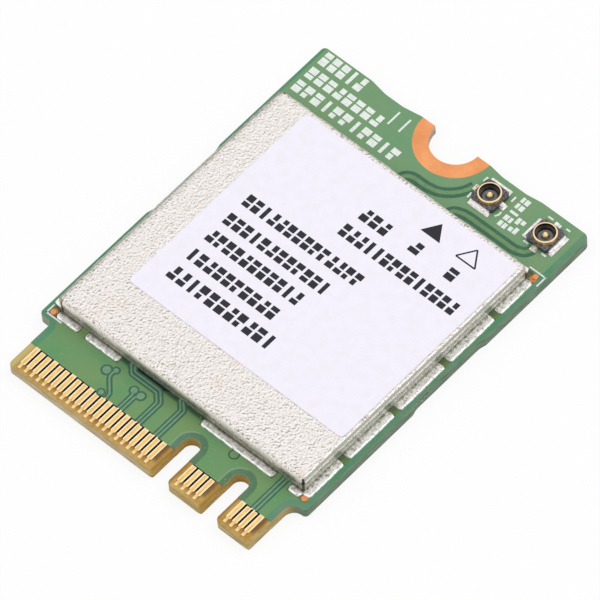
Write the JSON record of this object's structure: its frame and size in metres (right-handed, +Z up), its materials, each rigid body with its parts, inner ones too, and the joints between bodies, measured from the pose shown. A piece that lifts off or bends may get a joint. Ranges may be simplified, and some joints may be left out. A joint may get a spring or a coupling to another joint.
{
  "type": "laptop wifi card",
  "caption": "Small wireless network card for a notebook computer: a green board with gold edge contacts, a shielding can with a plain label, a screw notch and two antenna jacks.",
  "frame": {"origin": "under the middle of the board, on its bottom face", "axes": "+X to the right seen from above with the contacts nearest, +Y along the board from the contact edge to the screw notch, +Z up, the shielding can on top"},
  "size_m": [0.022, 0.03, 0.0021],
  "materials": {
    "laminate": "woven glass laminate, satin",
    "solder_mask": "green lacquer, semi gloss",
    "gold": "gold plated, polished",
    "bare_copper": "bare copper, satin",
    "solder": "tin solder, bright",
    "shield": "tinned sheet with orange peel grain",
    "label": "white film label, satin",
    "jack_black": "moulded black",
    "chip_black": "moulded black, fine matte",
    "lead": "tinned",
    "ceramic": "ceramic",
    "resistor_black": "glazed ceramic",
    "ferrite": "ferrite, matte"
  },
  "bodies": {
    "root": {"antenna_filters": "ceramic", "aux_front_end_module": "chip_black", "aux_jack_insulator": "jack_black", "aux_jack_pin": "gold", "aux_jack_shell": "gold", "capacitors": "ceramic", "circuit_board": "laminate", "component_solder": "solder", "crystal_base": "ceramic", "crystal_lid": "lead", "edge_contacts_bottom": "gold", "edge_contacts_top": "gold", "jack_lands": "bare_copper", "jack_solder": "solder", "label": "label", "main_front_end_module": "chip_black", "main_jack_insulator": "jack_black", "main_jack_pin": "gold", "main_jack_shell": "gold", "memory_chip": "chip_black", "radio_chip": "chip_black", "radio_chip_leads": "lead", "resistors": "resistor_black", "screw_land_bottom": "bare_copper", "screw_land_top": "bare_copper", "shield_frame": "shield", "shield_lands": "bare_copper", "shield_lid": "shield", "shield_solder": "solder", "solder_mask_bottom": "solder_mask", "solder_mask_top": "solder_mask", "supply_coils": "ferrite", "supply_regulator": "chip_black", "test_pads": "gold"}
  },
  "joints": []
}
